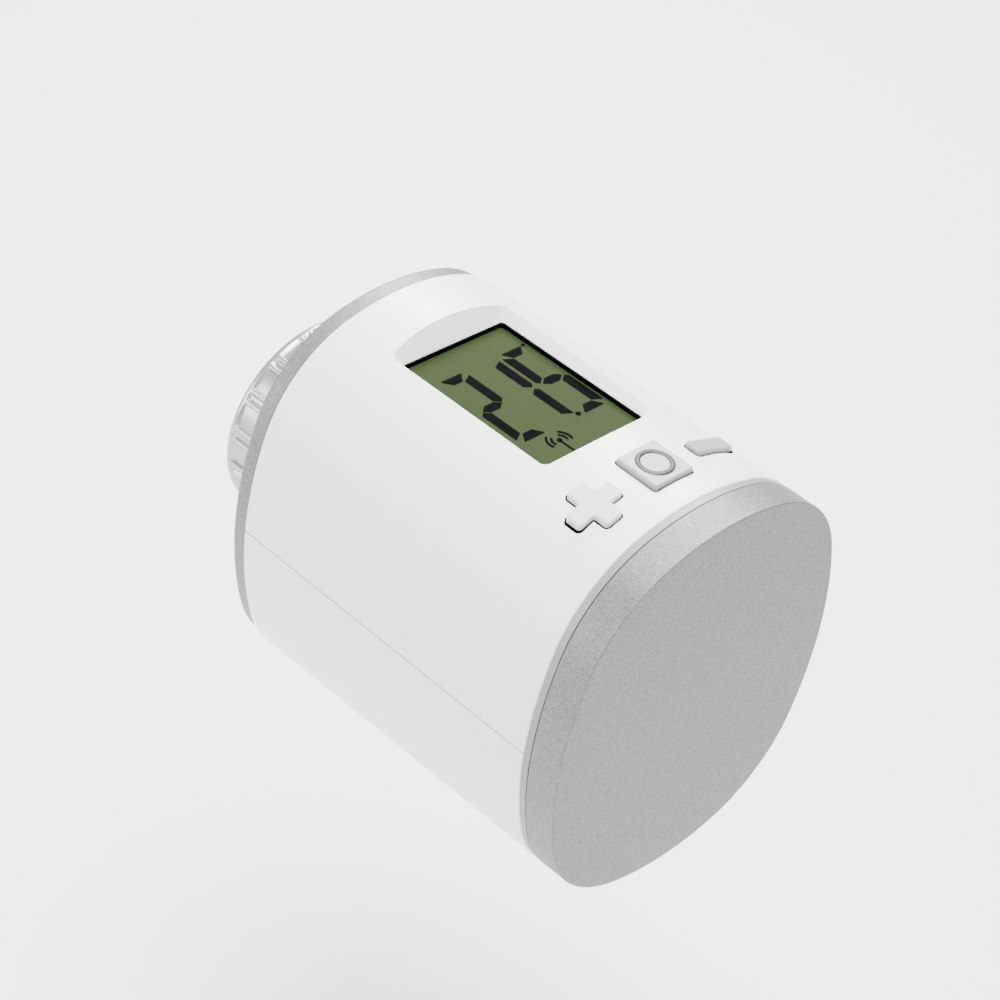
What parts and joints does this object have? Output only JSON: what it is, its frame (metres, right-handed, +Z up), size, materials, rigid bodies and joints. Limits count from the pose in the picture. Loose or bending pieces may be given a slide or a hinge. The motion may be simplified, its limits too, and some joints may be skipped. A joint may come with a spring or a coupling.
{
  "type": "electronic radiator thermostat",
  "caption": "Battery driven radiator thermostat head with union nut, recessed display, three keys, geared motor and plunger.",
  "frame": {"origin": "centre of the union nut's open end, on the valve axis", "axes": "+X outwards along the valve axis to the end cap, +Z up out of the display, +Y across the body"},
  "size_m": [0.083, 0.0556, 0.0656],
  "materials": {
    "white_shell": "satin white moulded plastic",
    "silver_paint": "fine silver metallic paint",
    "nut_metal": "satin silver",
    "grey_plastic": "glass filled plastic",
    "spring_steel": "bright",
    "screw_steel": "zinc plated",
    "black_plastic": "fine matt grain",
    "lcd": "grey-green reflective display",
    "elastomer": "layered elastomer",
    "solder_mask": "green solder mask",
    "chip_black": "moulded epoxy",
    "tin_shield": "tin plated",
    "stem_plastic": "satin",
    "pale_button": "satin",
    "grey_button": "satin",
    "brass": "turned",
    "gear_plastic": "acetal",
    "motor_can": "plated can",
    "battery_label": "printed sleeve, plain"
  },
  "bodies": {
    "head": {"upper_shell": "white_shell", "base_ring": "silver_paint", "end_cap": "silver_paint", "base_plate": "grey_plastic", "gearbox_housing": "grey_plastic", "gearbox_cover": "grey_plastic", "retaining_ring": "spring_steel", "battery_spring_1": "spring_steel", "battery_spring_2": "spring_steel", "contact_plate_1": "spring_steel", "contact_plate_2": "spring_steel", "bridge_contact": "spring_steel", "board_screw_1": "screw_steel", "board_screw_2": "screw_steel", "board_screw_3": "screw_steel", "board_screw_4": "screw_steel", "gearbox_screw_1": "screw_steel", "gearbox_screw_2": "screw_steel", "gearbox_screw_3": "screw_steel", "gear_shaft_1": "screw_steel", "gear_shaft_2": "screw_steel", "lcd_frame": "black_plastic", "chassis": "black_plastic", "lcd_glass": "lcd", "zebra_strip": "elastomer", "circuit_board": "solder_mask", "microcontroller": "chip_black", "plus_switch": "chip_black", "select_switch": "chip_black", "minus_switch": "chip_black", "radio_module": "tin_shield", "motor": "motor_can", "battery_1": "battery_label", "battery_2": "battery_label"},
    "nut": {"union_nut": "nut_metal"},
    "plunger_body": {"plunger": "brass"},
    "spindle": {"spindle_gear": "gear_plastic"},
    "gear_2": {"reduction_gear_2": "gear_plastic"},
    "gear_1": {"reduction_gear_1": "gear_plastic"},
    "motor_shaft": {"motor_pinion": "brass"},
    "plus_key": {"plus_button": "pale_button", "plus_switch_stem": "stem_plastic"},
    "select_key": {"select_button": "grey_button", "select_switch_stem": "stem_plastic"},
    "minus_key": {"minus_button": "grey_button", "minus_switch_stem": "stem_plastic"},
    "cover": {"battery_cover": "white_shell"}
  },
  "joints": [
    {"name": "nut_turn", "type": "hinge", "parent": "head", "child": "nut", "pos_m": [0.0069, 0, 0], "axis": [1, 0, 0], "continuous": true},
    {"name": "plunger_slide", "type": "slide", "parent": "head", "child": "plunger_body", "axis": [-1, 0, 0], "range_m": [0, 0.0045]},
    {"name": "spindle_turn", "type": "hinge", "parent": "head", "child": "spindle", "pos_m": [0.022, 0, 0], "axis": [1, 0, 0], "range_deg": [0, 1082.16]},
    {"name": "gear_2_turn", "type": "hinge", "parent": "head", "child": "gear_2", "pos_m": [0.023, 0, 0.0105], "axis": [1, 0, 0], "range_deg": [-4599.18, 0]},
    {"name": "gear_1_turn", "type": "hinge", "parent": "head", "child": "gear_1", "pos_m": [0.0255, 0.0095, 0.0105], "axis": [1, 0, 0], "range_deg": [0, 17246.92]},
    {"name": "motor_turn", "type": "hinge", "parent": "head", "child": "motor_shaft", "pos_m": [0.027, 0, 0.0105], "axis": [1, 0, 0], "range_deg": [-64675.97, 0]},
    {"name": "plus_press", "type": "slide", "parent": "head", "child": "plus_key", "axis": [0, 0, -1], "range_m": [0, 0.0006], "stiffness_N_per_m": 900, "springref_m": -0.0008},
    {"name": "select_press", "type": "slide", "parent": "head", "child": "select_key", "axis": [0, 0, -1], "range_m": [0, 0.0006], "stiffness_N_per_m": 900, "springref_m": -0.0008},
    {"name": "minus_press", "type": "slide", "parent": "head", "child": "minus_key", "axis": [0, 0, -1], "range_m": [0, 0.0006], "stiffness_N_per_m": 900, "springref_m": -0.0008},
    {"name": "cover_off", "type": "slide", "parent": "head", "child": "cover", "axis": [0, 0, -1], "range_m": [0, 0.06]}
  ],
  "couplings": [
    {"joint": "spindle_turn", "follows": "plunger_slide", "rad_per_m": 4188.8},
    {"joint": "gear_2_turn", "follows": "plunger_slide", "rad_per_m": -17802},
    {"joint": "gear_1_turn", "follows": "plunger_slide", "rad_per_m": 66759},
    {"joint": "motor_turn", "follows": "plunger_slide", "rad_per_m": -250350}
  ]
}
